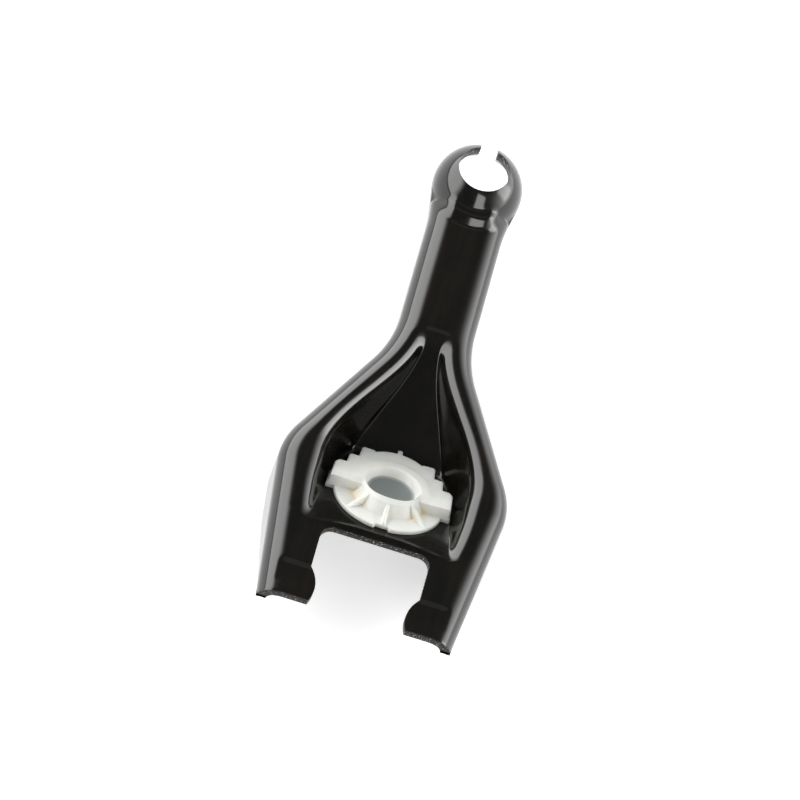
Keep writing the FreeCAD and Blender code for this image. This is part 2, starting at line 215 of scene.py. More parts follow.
def outline(inset):
    """Half outline from the tip to the slot as a dense polyline with its lengths."""
    lean = math.atan2(SHOULDER_HALF - TIP_HALF, SHOULDER_Y)
    flank = math.atan2(SHOULDER_HALF - ARM_HALF, WAIST_Y - SHOULDER_Y)
    turn = 0.5 * (lean + flank)
    bisect = 0.5 * (flank - lean)
    reach = SHOULDER_R / math.cos(turn)
    s_c = np.array([SHOULDER_HALF - reach * math.cos(bisect), SHOULDER_Y - reach * math.sin(bisect)])
    reach = WAIST_R / math.cos(flank / 2)
    w_c = np.array([ARM_HALF + reach * math.cos(flank / 2), WAIST_Y + reach * math.sin(flank / 2)])
    n_y = DOME_Y - math.sqrt((DOME_R + NECK_R) ** 2 - (ARM_HALF + NECK_R) ** 2)
    n_c = np.array([ARM_HALF + NECK_R, n_y])
    n_turn = math.asin((DOME_Y - n_y) / (DOME_R + NECK_R))
    d_r = DOME_R - inset
    tip_x = TIP_HALF - inset / math.cos(lean)
    parts = [
        np.array([[tip_x, 0.0]]),
        arc(s_c, SHOULDER_R - inset, -lean, flank, 60),
        arc(w_c, WAIST_R + inset, math.pi + flank, math.pi, 60),
        arc(n_c, NECK_R + inset, math.pi, math.pi - n_turn, 60),
        arc((0.0, DOME_Y), d_r, -n_turn, math.acos(SLOT_HALF / d_r), 160),
    ]
    points = np.concatenate(parts)
    steps = np.hypot(*np.diff(points, axis=0).T)
    return points, np.concatenate([[0.0], np.cumsum(steps)]), -n_turn


def along_curve(points, lengths, distance):
    """Points at given distances along a polyline."""
    return np.stack([np.interp(distance, lengths, points[:, i]) for i in (0, 1)], 1)


def inner_edge():
    """Pads, notch, middle line and cable eye as a polyline with its lengths."""
    pad_c = (PAD_HALF + PAD_R, PAD_Y)
    low = math.pi + math.asin(PAD_Y / PAD_R)
    rise = math.acos((PAD_HALF + PAD_R - NOTCH_HALF) / PAD_R)
    parts = [
        arc(pad_c, PAD_R, low, math.pi - rise, 60),
        arc((NOTCH_HALF - NOTCH_R, NOTCH_Y - NOTCH_R), NOTCH_R, 0.0, math.pi / 2, 40),
        np.array([[0.0, NOTCH_Y], [0.0, EYE_Y - EYE_R]]),
        arc((0.0, EYE_Y), EYE_R, -math.pi / 2, math.acos(SLOT_HALF / EYE_R), 160)[1:],
    ]
    points = np.concatenate(parts)
    steps = np.hypot(*np.diff(points, axis=0).T)
    marks = np.cumsum([0, 59, 1, 39, 1, 1, 159])
    return points, np.concatenate([[0.0], np.cumsum(steps)]), marks


inner_points, inner_lengths, inner_marks = inner_edge()
print("inner edge", np.round(inner_lengths[inner_marks], 1))

# %% [markdown]
# A pressed sheet has no seams, so its mesh shouldn't either: rows run from the
# inner edge to the outline like the ribs of a leaf, and turn gently round the
# notch and the eye.  The table pairs one place on each edge with the number
# of rows up to it, and places between are shared out evenly.  Triangles from a
# boolean would shade unevenly on a gloss surface.

# %% Which point of the inner edge goes with which point of the outline
def rows(inset):
    """Plan of every row: where it starts on the inner edge and ends on the outline."""
    points, lengths, neck_angle = outline(inset)

    def at_y(y):
        body = points[:, 1] <= DOME_Y
        return float(np.interp(y, points[body, 1], lengths[body]))

    mark = inner_lengths[inner_marks]
    middle = mark[4]
    eye_turn = mark[5] + EYE_R * (neck_angle + math.pi / 2)
    neck_end = lengths[-160]
    table = [
        (mark[0], 0.0, 0), (mark[1], at_y(13.1), 18), (mark[2], at_y(25.7), 14),
        (mark[3], at_y(29.5), 12), (middle, at_y(33.0), 20),
        (middle + 38.0 - NOTCH_Y, at_y(39.0), 16),
        (middle + 80.0 - NOTCH_Y, at_y(80.0), 60), (middle + 120.0 - NOTCH_Y, at_y(120.0), 54),
        (middle + 160.0 - NOTCH_Y, at_y(160.0), 26), (mark[5], at_y(171.5), 26),
        (eye_turn, neck_end, 22), (mark[6], lengths[-1], 34),
    ]
    inner_s = [np.array([table[0][0]])]
    outer_s = [np.array([table[0][1]])]
    for (i0, o0, _), (i1, o1, count) in zip(table[:-1], table[1:]):
        t = np.linspace(0.0, 1.0, count + 1)[1:]
        inner_s.append(i0 + (i1 - i0) * t)
        outer_s.append(o0 + (o1 - o0) * t)
    start = along_curve(inner_points, inner_lengths, np.concatenate(inner_s))
    end_s = np.concatenate(outer_s)
    end = along_curve(points, lengths, end_s)
    over = np.where(end[:, 1] > DOME_Y, np.maximum(flange_bottom(end[:, 1]) - DOME_Z, 0.0), 0.0)
    shrink = np.sqrt(1.0 - (over / (DOME_R - inset)) ** 2)[:, None]
    ball_middle = np.array([0.0, DOME_Y])
    end = ball_middle + (end - ball_middle) * np.where(over[:, None] > 0, shrink, 1.0)
    end[-1] = [SLOT_HALF, DOME_Y + math.sqrt((DOME_R - inset) ** 2 - over[-1] ** 2 - SLOT_HALF ** 2)]
    ahead = along_curve(points, lengths, np.minimum(end_s + 0.05, lengths[-1]))
    behind = along_curve(points, lengths, np.maximum(end_s - 0.05, 0.0))
    tangent = ahead - behind
    tangent /= np.hypot(*tangent.T)[:, None]
    inward = np.stack([-tangent[:, 1], tangent[:, 0]], 1)
    inward[0] = [-1.0, 0.0]
    inward[-1] = [0.0, -1.0]
    return start, end, inward, points


def flange_bottom(y):
    """Height of the flange's lower edge: shallow at the tips, full at the belly, then the arm's."""
    return np.interp(y, [0.0, 38.0, 96.0, 130.0, 166.0, 188.0],
                     [TOP - 6.6, 0.0, 0.0, TOP - 15.0, TOP - 15.0, TOP - 4.0])


row_start, row_end, _, _ = rows(0.0)
print("rows", len(row_start), "longest", round(float(np.hypot(*(row_end - row_start).T).max()), 1))

# %% [markdown]
# Where the sheet bends tightly, at the foot and the rim of the recess, the
# paint mirrors a thin bright line, and that line is only smooth if columns of
# the mesh follow the bend.  So each row is shared out between those two
# places.  A finer grid everywhere would also work, but with far more faces.

# %% One face of the sheet
def distance_to(points, x, y):
    """Shortest distance from plan points to a dense polyline."""
    a, b = points[:-1], points[1:]
    span = b - a
    size2 = np.maximum((span ** 2).sum(1), 1e-12)
    best = np.full(x.shape, 1e9)
    for k in range(0, len(a), 40):
        dx = x[..., None] - a[k:k + 40, 0]
        dy = y[..., None] - a[k:k + 40, 1]
        t = np.clip((dx * span[k:k + 40, 0] + dy * span[k:k + 40, 1]) / size2[k:k + 40], 0.0, 1.0)
        gap = np.hypot(dx - t * span[k:k + 40, 0], dy - t * span[k:k + 40, 1])
        best = np.minimum(best, gap.min(-1))
    return best


def column_shares(start, turn, counts):
    """Share of each column along its row, so that columns follow the wall's foot and rim.

    Every row is cut in three runs, foot and rim being found by three rounds of
    share = (half width at that y - x of the start) / (x of the end - x of the start).
    """
    def share_of(half, rest):
        share = np.full(len(start), rest)
        for _ in range(3):
            y = start[:, 1] + (turn[:, 1] - start[:, 1]) * share
            share = (half(y) - start[:, 0]) / np.maximum(turn[:, 0] - start[:, 0], 1.0)
        return share

    inside = ease(start[:, 1], NOTCH_Y - 0.5, NOTCH_Y + 0.5) * ease(start[:, 1], 122.0, 114.0)
    foot = share_of(lambda y: np.minimum(web_half(y), seat_half(y)) - 1.5, 0.5)
    rim = share_of(lambda y: rim_half(y) + 4.6, 0.8)
    rim = np.clip(0.8 * (1 - inside) + rim * inside, 0.3, 0.93)
    foot = np.clip(0.4 * (1 - inside) + foot * inside, 0.1, 0.8 * rim)
    wide = np.ones(9) / 9.0
    foot, rim = (np.convolve(np.pad(v, 4, mode="edge"), wide, "valid") for v in (foot, rim))
    runs = []
    bounds = (0.0 * foot, foot, rim, 1.0 + 0.0 * rim)
    for low, high, count in zip(bounds[:-1], bounds[1:], counts):
        runs.append(low[:, None] + (high - low)[:, None] * np.linspace(0.0, 1.0, count + 1)[None, 1:])
    return np.concatenate([np.zeros((len(start), 1))] + runs, 1)


def sheet_face(inset, counts=(14, 30, 8), round_count=14, wall_count=5):
    """Half of one face as a grid: rows along the fork, columns out to the flange and down it.

    A row runs straight in plan from the inner edge to a point EDGE_R inside the
    outline, then closes on the outline as r * (1 - sin a) for a from 0 to 90
    degrees, and then drops down the flange.
    """
    start, end, inward, outer_line = rows(inset)
    room = np.hypot(*(end - start).T)
    zone = np.minimum(EDGE_R - inset, (0.9 - 0.48 * ease(start[:, 1], 150.0, 171.0)) * room)
    turn = end + inward * zone[:, None]
    t = column_shares(start, turn, counts)[..., None]
    flat = start[:, None, :] * (1 - t) + turn[:, None, :] * t
    a = np.linspace(0.0, math.pi / 2, round_count)[1:]
    closing = end[:, None, :] + inward[:, None, :] * (zone[:, None] * (1 - np.sin(a))[None, :])[..., None]
    plan = np.concatenate([flat, closing], 1)
    x, y = plan[..., 0], plan[..., 1]
    edge = distance_to(outer_line, x, y)
    edge[:, -1] = 0.0
    z = top_height(x, y, edge, inset)
    low = flange_bottom(y[:, -1])
    t = np.linspace(0.0, 1.0, wall_count + 1)[1:][None, :]
    wall_z = z[:, -1:] * (1 - t) + low[:, None] * t
    x = np.concatenate([x, np.repeat(x[:, -1:], wall_count, 1)], 1)
    y = np.concatenate([y, np.repeat(y[:, -1:], wall_count, 1)], 1)
    z = np.concatenate([z, wall_z], 1)
    return np.stack([x, y, z], -1)


outer_half = sheet_face(0.0)
inner_half = sheet_face(SHEET, (8, 16, 5), 8, 4)
print("half face grid", outer_half.shape, "top", round(float(outer_half[..., 2].max()), 2))

# %% [markdown]
# The sheet's two faces are joined by its sheared edges, and each half is
# mirrored to give the other.  A Solidify modifier would make the thickness
# too, but it thickens tight bends unevenly.  The sheet is left whole under the
# bush, which covers it from above.

# %% Turn grids into one closed mesh
def grid_quads(count_u, count_v, first, flip):
    """Quads of a grid of count_u by count_v points numbered from first."""
    i = np.arange(count_u - 1)[:, None] * count_v + np.arange(count_v - 1)[None, :] + first
    quads = np.stack([i, i + count_v, i + count_v + 1, i + 1], -1).reshape(-1, 4)
    return quads[:, ::-1] if flip else quads


def strip_quads(a, b, flip):
    """Quads between two rows of point numbers."""
    quads = np.stack([a[:-1], a[1:], b[1:], b[:-1]], -1)
    return quads[:, ::-1] if flip else quads


def new_object(name, verts, faces, smooth=True, face_mask=None):
    """Mesh object at the origin from points in metres and quads, with a mask on its faces."""
    mesh = bpy.data.meshes.new(name)
    mesh.from_pydata([tuple(v) for v in verts.tolist()], [], faces.tolist())
    if face_mask is not None:
        mask = mesh.attributes.new("cut_face", "FLOAT", "FACE")
        mask.data.foreach_set("value", face_mask.astype(np.float32))
    mesh.validate()
    mesh.polygons.foreach_set("use_smooth", [smooth] * len(mesh.polygons))
    piece = bpy.data.objects.new(name, mesh)
    bpy.context.scene.collection.objects.link(piece)
    return piece


def weld(piece, gap):
    """Merge points that coincide and turn every face outwards."""
    bm = bmesh.new()
    bm.from_mesh(piece.data)
    bmesh.ops.remove_doubles(bm, verts=bm.verts, dist=gap)
    bmesh.ops.recalc_face_normals(bm, faces=bm.faces)
    bm.to_mesh(piece.data)
    bm.free()


# %% One half of the sheet, with its sheared edges
def half_shell(outer, inner, sign):
    """Points and quads of one half: two faces and the cut edges between them."""
    flip = sign < 0
    size = outer.shape[0] * outer.shape[1]
    outer_i = np.arange(size).reshape(outer.shape[:2])
    inner_i = np.arange(inner.shape[0] * inner.shape[1]).reshape(inner.shape[:2]) + size
    faces = [grid_quads(*outer.shape[:2], 0, flip), grid_quads(*inner.shape[:2], size, not flip)]
    cut = outer[:, 0, 0] > 1e-6
    last_cut = int(np.argmin(cut))
    first_eye = int(len(cut) - np.argmin(cut[::-1]) - 1)
    for span in (slice(0, last_cut + 1), slice(first_eye, None)):
        faces.append(strip_quads(outer_i[span, 0], inner_i[span, 0], not flip))
    faces.append(strip_quads(outer_i[:, -1], inner_i[:, -1], flip))
    verts = np.concatenate([outer.reshape(-1, 3), inner.reshape(-1, 3)])
    ends = []
    for row, turned in ((0, flip), (-1, not flip)):
        steps = outer.shape[1]
        share = np.linspace(0, 1, inner.shape[1])
        place = np.linspace(0, 1, steps)
        across = np.stack([np.interp(place, share, inner[row, :, k]) for k in range(3)], 1)
        first = len(verts) + sum(len(e) for e in ends)
        ends.append(across)
        faces.append(strip_quads(outer_i[row], np.arange(steps) + first, turned))
    verts = np.concatenate([verts] + ends)
    verts = verts * np.array([sign, 1.0, 1.0]) + np.array([0.0, TIP_Y, 0.0])
    sheared = np.concatenate([np.full(len(f), float(k > 1)) for k, f in enumerate(faces)])
    return verts * MM, np.concatenate(faces), sheared


right_v, right_f, right_cut = half_shell(outer_half, inner_half, 1.0)
left_v, left_f, left_cut = half_shell(outer_half, inner_half, -1.0)
fork = new_object("fork_pressing", np.concatenate([right_v, left_v]),
                  np.concatenate([right_f, left_f + len(right_v)]),
                  face_mask=np.concatenate([right_cut, left_cut]))
print("both halves", len(fork.data.polygons), "faces before welding")

# %% [markdown]
# The seat's paint is rubbed satin round the bush, and the edges are sheared.
# A finish that depends on the place needs a mask, and a number stored on the
# mesh keeps to the shape, where a painted image would need unwrapping.

# %% Masks, weld and bevel of the sheet
def point_mask(piece, name, values):
    """Store one number on every point, for a material to read."""
    layer = piece.data.attributes.new(name, "FLOAT", "POINT")
    layer.data.foreach_set("value", values.ravel().astype(np.float32))


def places(piece):
    """Points of a piece in millimetres, y from the tips."""
    flat = np.empty(3 * len(piece.data.vertices))
    piece.data.vertices.foreach_get("co", flat)
    return flat.reshape(-1, 3) / MM - [0.0, TIP_Y, 0.0]


spots = places(fork)
across, along = np.abs(spots[:, 0]), spots[:, 1]
seat_edge = seat_half(along)
satin = ease(along, 29.0, 33.0) * ease(along, 80.0, 66.0)
satin = satin * ease(across, seat_edge + 1.5, seat_edge - 2.5)
point_mask(fork, "satin_seat", satin)
weld(fork, 2e-6)
bevel = fork.modifiers.new("cut_edges", "BEVEL")
bevel.width = 0.35 * MM
bevel.segments = 2
bevel.limit_method = "ANGLE"
bevel.angle_limit = math.radians(50.0)
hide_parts("fork_body")
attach(fork, "root")
print("fork", len(fork.data.vertices), "points", len(fork.data.polygons), "faces")

# %% [markdown]
# The ball seat is one nylon moulding: a round flange, a ring with the cup in
# it, a stepped shelf on the arm's side and three thin gussets on the prongs'
# side.  It could be several solids joined by booleans, but then the small
# radii of a moulding are hard to get.  Seen from its own axis every part of it
# is a height at some angle and radius, so it is one polar grid: rings of
# points that run from the cup's floor over the top, down to the flange and
# back underneath.

# %% Plan of the ball seat: how far its top reaches at each angle
SHELF = [(22.0, -3.2), (21.6, 4.4), (20.3, 6.1), (17.6, 6.1), (17.3, 11.2), (16.6, 11.8),
         (13.9, 11.8), (13.5, 17.6), (12.8, 18.3), (9.0, 18.1)]
CROWN_Y, CROWN_R = 6.5, 13.9
FLANGE_R, FLANGE_H, BUSH_H = 20.0, 1.8, 7.0
COLLAR_R, COLLAR_FOOT = 10.7, 12.9
CUP_R, CUP_H, MOUTH_R = 8.7, 4.0, 10.0
SPIGOT_R, SPIGOT_LENGTH, LIP_R = 10.45, 4.7, 11.0
# How far the shown bush lies from the CAD's, along the seat and into it.
BUSH_SLIDE, BUSH_SINK = -2.3, -0.2
RIB_TOP, RIB_END = 5.4, 19.2
RIB_ANGLES = np.radians([226.0, 271.0, 321.0])


def shelf_outline():
    """Right half of the shelf with its crown arc and gate stub, mirrored to a closed polygon."""
    a = np.linspace(math.acos(8.7 / CROWN_R), math.acos(0.95 / CROWN_R), 16)
    crown = np.stack([CROWN_R * np.cos(a), CROWN_Y + CROWN_R * np.sin(a)], 1)
    half = np.concatenate([np.array(SHELF), crown, [[0.8, 22.4], [0.3, 22.8]]])
    return np.concatenate([half, half[::-1] * [-1.0, 1.0], half[:1]])


def reach_of(outline_points, angle):
    """Distance from the axis to a closed polygon: the largest r with r * direction on an edge."""
    a, b = outline_points[:-1], outline_points[1:]
    way = np.stack([np.cos(angle), np.sin(angle)], 1)[:, None, :]
    span = (b - a)[None, :, :]
    across = way[..., 0] * span[..., 1] - way[..., 1] * span[..., 0]
    across = np.where(np.abs(across) < 1e-9, 1e-9, across)
    r = (a[None, :, 0] * span[..., 1] - a[None, :, 1] * span[..., 0]) / across
    t = (a[None, :, 0] * way[..., 1] - a[None, :, 1] * way[..., 0]) / across
    return np.where((t >= -1e-6) & (t <= 1.0 + 1e-6) & (r > 0), r, 0.0).max(1)


angle = np.linspace(0.0, 2.0 * math.pi, 1081)[:-1]
shelf_reach = np.maximum(reach_of(shelf_outline(), angle), COLLAR_R)
print("shelf reaches", round(float(shelf_reach.min()), 1), "to", round(float(shelf_reach.max()), 1))

# %% [markdown]
# A moulding has a small radius on every edge, so that it leaves its mould.
# Each ring below is one line round the bush: some are circles, and some follow
# the shelf.  Close rings make a radius and distant rings a flat.  Turning a
# profile would give the circles only.

# %% Rings of the ball seat
def seat_top(r):
    """Height of the top: full on the ring, a little lower on the shelf, the wings and the near lip."""
    far = ease(np.sin(angle), -0.25, 0.05)
    return BUSH_H - 0.35 * ease(r, 13.0, 15.6) * far - 1.5 * ease(r, 8.2, 11.4) * (1.0 - far)


def rib_top(r):
    """Height of the gussets: a straight slope from the collar down to the flange's rim."""
    line = RIB_TOP - (r - COLLAR_R) * (RIB_TOP - FLANGE_H - 0.2) / (RIB_END - COLLAR_R)
    rise = np.zeros_like(angle)
    for middle in RIB_ANGLES:
        off = np.abs(r * np.sin(angle - middle)) + 9.0 * (np.cos(angle - middle) < 0)
        rise = np.maximum(rise, ease(off, 0.95, 0.6))
    return rise * line * (r < RIB_END + 0.15)


def bush_rings():
    """Radius and height of every ring, from the cup's floor to the underside's middle."""
    mouth = MOUTH_R - 1.5 * np.maximum(-np.sin(angle), 0.0) ** 2
    step = shelf_reach
    near = ease(step, COLLAR_R + 0.6, COLLAR_R)
    foot = step + 0.3 + (COLLAR_FOOT - COLLAR_R - 0.3) * near
    notch = ease(np.abs(22.0 * np.cos(angle)), 3.3, 2.6) * (np.sin(angle) < 0)
    rim = np.maximum(FLANGE_R - 1.3 * notch, foot + 0.5)
    radii, heights = [], []

    def ring(r, h):
        radii.append(r * np.ones_like(angle))
        heights.append(h * np.ones_like(angle))

    for t in np.linspace(0.0, 1.0, 9):
        ring(8.5 * t, CUP_H - 1.2 * (1.0 - t * t))
    ring(CUP_R, CUP_H + 0.25)
    for t in (0.35, 0.7, 0.93):
        ring(CUP_R + (mouth - CUP_R) * t ** 1.5, CUP_H + (BUSH_H - CUP_H - 0.25) * t)
    ring(mouth + 0.08, seat_top(mouth) - 0.1)
    inner = mouth + 0.35
    top_edge = np.maximum(step - 0.45, inner + 0.1)
    for t in np.linspace(0.0, 1.0, 13):
        r = inner + (top_edge - inner) * t
        ring(r, seat_top(r))
    for a in np.radians([30.0, 60.0, 90.0]):
        ring(top_edge + (step - top_edge) * np.sin(a), seat_top(top_edge) - 0.45 * (1.0 - np.cos(a)))
    for t in (0.2, 0.4, 0.6, 0.8):
        h = seat_top(step) - 0.45 + (FLANGE_H + 0.45 - seat_top(step) + 0.45) * t
        r = step + (foot - step) * t
        ring(r, np.maximum(h, rib_top(r)))
    for a in np.radians([0.0, 45.0, 90.0]):
        r = foot + 0.45 * np.sin(a)
        ring(r, np.maximum(FLANGE_H + 0.45 * (1.0 - np.sin(a)), rib_top(r)))
    flange_edge = np.maximum(rim - 0.4, foot + 0.46)
    for t in np.linspace(0.0, 1.0, 12)[1:]:
        r = foot + 0.45 + (flange_edge - foot - 0.45) * t
        ring(r, np.maximum(FLANGE_H, rib_top(r)))
    for a in np.radians([45.0, 90.0]):
        ring(flange_edge + (rim - flange_edge) * np.sin(a), FLANGE_H - 0.4 * (1.0 - np.cos(a)))
    ring(rim, 0.3)
    ring(rim - 0.3, 0.0)
    for r, h in ((15.0, 0.0), (SPIGOT_R, 0.0), (SPIGOT_R, -3.4), (LIP_R, -3.8), (LIP_R, -4.4),
                 (SPIGOT_R, -SPIGOT_LENGTH), (9.2, -SPIGOT_LENGTH), (8.9, -SPIGOT_LENGTH + 0.3),
                 (8.7, 0.6), (7.9, 1.2), (4.0, 1.3), (0.0, 1.3)):
        ring(r, h)
    return np.array(radii), np.array(heights)


def on_seat(r, h):
    """Polar place on the tilted seat face as points of the fork."""
    along = r * np.sin(angle) + BUSH_SLIDE
    h = h + BUSH_SINK
    seat_z = TOP - SEAT_STEP - SEAT_SLOPE * (BALL_Y - SEAT_Y)
    y = BALL_Y + along * math.cos(SEAT_TILT) + h * math.sin(SEAT_TILT) + TIP_Y
    z = seat_z - along * math.sin(SEAT_TILT) + h * math.cos(SEAT_TILT)
    return np.stack([r * np.cos(angle), y, z], -1)


radii, heights = bush_rings()
bush_points = on_seat(radii, heights)
count_r, count_a = radii.shape
ids = np.arange(count_r * count_a).reshape(count_r, count_a)
ids = np.concatenate([ids, ids[:, :1]], 1)
bush_quads = np.stack([ids[:-1, :-1], ids[1:, :-1], ids[1:, 1:], ids[:-1, 1:]], -1).reshape(-1, 4)
bush = new_object("nylon_bush", bush_points.reshape(-1, 3) * MM, bush_quads)
print("rings", count_r, "of", count_a, "points")

# %% Masks of the ball seat: painted shade on the thin cup floor and painted warm shade in the corners
# Painted shade: the cup's floor is coloured dark grey for the dark seen through it.
floor_shade_mask = np.where(np.arange(count_r)[:, None] < 10, ease(radii, 8.75, 8.3), 0.0)
# Painted shade: a warm, darker tint in the corners at the collar's foot on the prongs' side.
corner_shade_mask = ease(np.abs(heights - FLANGE_H - 0.6), 2.0, 0.2) * ease(np.abs(radii - 13.6), 2.2, 0.4)
corner_shade_mask = corner_shade_mask * ease(-np.sin(angle), 0.1, 0.3) * ease(np.abs(np.cos(angle)), 0.4, 0.8)
point_mask(bush, "painted_floor_shade", floor_shade_mask)
point_mask(bush, "painted_corner_shade", corner_shade_mask)
weld(bush, 1e-6)
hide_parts("pivot_bush")
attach(bush, "root")
print("bush", len(bush.data.polygons), "faces")

# %% [markdown]
# A long lens far away keeps the fork's sides nearly parallel, as a catalogue
# picture does.  The camera looks down from the prongs' side, a little turned
# and rolled.  It could be aimed with a constraint, but three directions worked
# out one by one show what each angle does.

# %% Camera
SIDE_TURN, TILT, ROLL = math.radians(5.0), math.radians(60.7), math.radians(21.7)
LENS, SENSOR, VIEW_WIDTH = 400.0, 36.0, 0.2813
ahead = np.array([math.sin(SIDE_TURN), math.cos(SIDE_TURN), 0.0])
sideways = np.array([math.cos(SIDE_TURN), -math.sin(SIDE_TURN), 0.0])
upright = np.array([0.0, 0.0, 1.0])
toward = upright * math.sin(TILT) - ahead * math.cos(TILT)
screen_up = ahead * math.sin(TILT) + upright * math.cos(TILT)
up = screen_up * math.cos(ROLL) - sideways * math.sin(ROLL)
right = screen_up * math.sin(ROLL) + sideways * math.cos(ROLL)
target = np.array([0.0, 0.0, TOP * MM]) - 0.0050 * sideways - 0.0110 * screen_up
place = target + toward * VIEW_WIDTH * LENS / SENSOR
camera_data = bpy.data.cameras.new("camera")
camera_data.lens = LENS
camera_data.sensor_width = SENSOR
camera_data.clip_end = 20.0
camera = bpy.data.objects.new("camera", camera_data)
camera_rows = [[right[i], up[i], toward[i], place[i]] for i in range(3)]
camera.matrix_world = Matrix(camera_rows + [[0, 0, 0, 1]])
bpy.context.scene.collection.objects.link(camera)
bpy.context.scene.camera = camera
bpy.context.scene.view_settings.view_transform = "Standard"
print("camera at", np.round(place, 3))

# %% [markdown]
# The fork lies on a white table.  More lamps would whiten the table and
# bleach the fork with it, so the floor adds some glow of its own to what the
# camera and reflections see, and keeps the shadow in its diffuse part.  From
# below it is clear, so that the underside can be looked at.

# %% Floor
FLOOR_HALF, SEEN_GLOW, MIRRORED_GLOW = 4.0, 0.62, 0.42
corners = np.array([[-1.0, -1.0, 0.0], [1.0, -1.0, 0.0], [1.0, 1.0, 0.0], [-1.0, 1.0, 0.0]])
floor = new_object("floor", FLOOR_HALF * corners, np.array([[0, 1, 2, 3]]), smooth=False)


def node_material(name):
    """Empty node material with its output node."""
    material = bpy.data.materials.new(name)
    material.use_nodes = True
    tree = material.node_tree
    tree.nodes.clear()
    return material, tree, tree.nodes.new("ShaderNodeOutputMaterial")


def add(tree, kind, **settings):
    """New node with its properties and its sockets' constants set by name."""
    node = tree.nodes.new(kind)
    for key, value in settings.items():
        if hasattr(node, key):
            setattr(node, key, value)
        else:
            node.inputs[key.replace("_", " ")].default_value = value
    return node


material, tree, out = node_material("floor_white")
path = add(tree, "ShaderNodeLightPath")
to_camera = add(tree, "ShaderNodeMath", operation="MULTIPLY")
to_camera.inputs[1].default_value = SEEN_GLOW
tree.links.new(path.outputs["Is Camera Ray"], to_camera.inputs[0])
mirrored = add(tree, "ShaderNodeMath", operation="MAXIMUM")
tree.links.new(path.outputs["Is Glossy Ray"], mirrored.inputs[0])
tree.links.new(path.outputs["Is Transmission Ray"], mirrored.inputs[1])
glow = add(tree, "ShaderNodeMath", operation="MULTIPLY_ADD")
glow.inputs[1].default_value = MIRRORED_GLOW
tree.links.new(mirrored.outputs[0], glow.inputs[0])
tree.links.new(to_camera.outputs[0], glow.inputs[2])
emit = add(tree, "ShaderNodeEmission")
tree.links.new(glow.outputs[0], emit.inputs["Strength"])
diffuse = add(tree, "ShaderNodeBsdfDiffuse", Color=(0.8, 0.8, 0.8, 1.0))
both = add(tree, "ShaderNodeAddShader")
tree.links.new(emit.outputs[0], both.inputs[0])
tree.links.new(diffuse.outputs[0], both.inputs[1])
under = add(tree, "ShaderNodeNewGeometry")
clear = add(tree, "ShaderNodeBsdfTransparent")
floor_mix = add(tree, "ShaderNodeMixShader")
tree.links.new(under.outputs["Backfacing"], floor_mix.inputs[0])
tree.links.new(both.outputs[0], floor_mix.inputs[1])
tree.links.new(clear.outputs[0], floor_mix.inputs[2])
tree.links.new(floor_mix.outputs[0], out.inputs["Surface"])
floor.data.materials.append(material)
print("floor is", 2.0 * FLOOR_HALF, "m wide")

# %% [markdown]
# Gloss black shows its shape only by what it mirrors.  So the studio is a dark
# tent with a few bright cloths, and their soft edges draw the bands along the
# rims.  Area lamps could do this, but a world given by direction needs no
# placing and lights every size of object alike.  Each cloth is a product of
# smooth steps in the direction's parts and a level.

# %% World: helpers for soft steps and sums
world = bpy.data.worlds.new("studio")
bpy.context.scene.world = world
world.use_nodes = True
tree = world.node_tree
tree.nodes.clear()
out = tree.nodes.new("ShaderNodeOutputWorld")
where = add(tree, "ShaderNodeTexCoord")
parts = add(tree, "ShaderNodeSeparateXYZ")
tree.links.new(where.outputs["Generated"], parts.inputs[0])


def maths(tree, operation, first, second):
    """Math node on two sockets or numbers."""
    node = add(tree, "ShaderNodeMath", operation=operation)
    for socket, value in zip(node.inputs, (first, second)):
        if isinstance(value, float):
            socket.default_value = value
        else:
            tree.links.new(value, socket)
    return node.outputs[0]


def step_up(tree, source, start, end):
    """Smooth step of a socket from 0 at start to 1 at end."""
    node = add(tree, "ShaderNodeMapRange", interpolation_type="SMOOTHSTEP")
    for label, value in (("From Min", start), ("From Max", end)):
        node.inputs[label].default_value = value
    tree.links.new(source, node.inputs["Value"])
    return node.outputs[0]


def cloth(level, *edges):
    """Bright cloth: its level times a smooth step for every edge given as socket, start and end."""
    total = step_up(tree, *edges[0])
    for edge in edges[1:]:
        total = maths(tree, "MULTIPLY", total, step_up(tree, *edge))
    return maths(tree, "MULTIPLY", total, level)


print("parts of a direction", [socket.name for socket in parts.outputs])

# %% World: a tent with bright sides and a dark top
dir_x, dir_y, dir_z = parts.outputs[0], parts.outputs[1], parts.outputs[2]
leftness = maths(tree, "SUBTRACT", maths(tree, "MULTIPLY", dir_y, 0.35), dir_x)
cloths = [
    cloth(3.5, (leftness, 0.38, 0.70), (dir_z, 0.89, 0.62), (dir_z, 0.02, 0.10)),
    cloth(2.9, (dir_x, 0.15, 0.95), (dir_z, 0.90, 0.10), (dir_y, -0.85, -0.10)),
    cloth(3.4, (dir_y, -0.59, -0.67), (dir_x, 0.02, 0.10), (dir_x, 0.46, 0.36), (dir_z, 0.30, 0.42)),
    cloth(3.2, (dir_x, 0.45, 0.62), (dir_y, 0.42, 0.20), (dir_y, -0.30, -0.10),
          (dir_z, 0.68, 0.58), (dir_z, 0.06, 0.16)),
    cloth(0.15, (dir_y, -0.26, -0.18), (dir_y, 0.22, 0.14), (dir_x, -0.38, -0.28),
          (dir_x, 0.38, 0.28), (dir_z, 0.5, 0.6)),
]
ROOM_LEVEL = 0.09
light = cloths[0]
for one in cloths[1:]:
    light = maths(tree, "ADD", light, one)
light = maths(tree, "ADD", light, ROOM_LEVEL)
path = add(tree, "ShaderNodeLightPath")
level = add(tree, "ShaderNodeMix", data_type="FLOAT")
tree.links.new(path.outputs["Is Camera Ray"], level.inputs[0])
tree.links.new(light, level.inputs[2])
level.inputs[3].default_value = 1.0
background = add(tree, "ShaderNodeBackground", Color=(1.0, 1.0, 1.0, 1.0))
tree.links.new(level.outputs[0], background.inputs["Strength"])
tree.links.new(background.outputs[0], out.inputs["Surface"])
print("cloths", len(cloths))

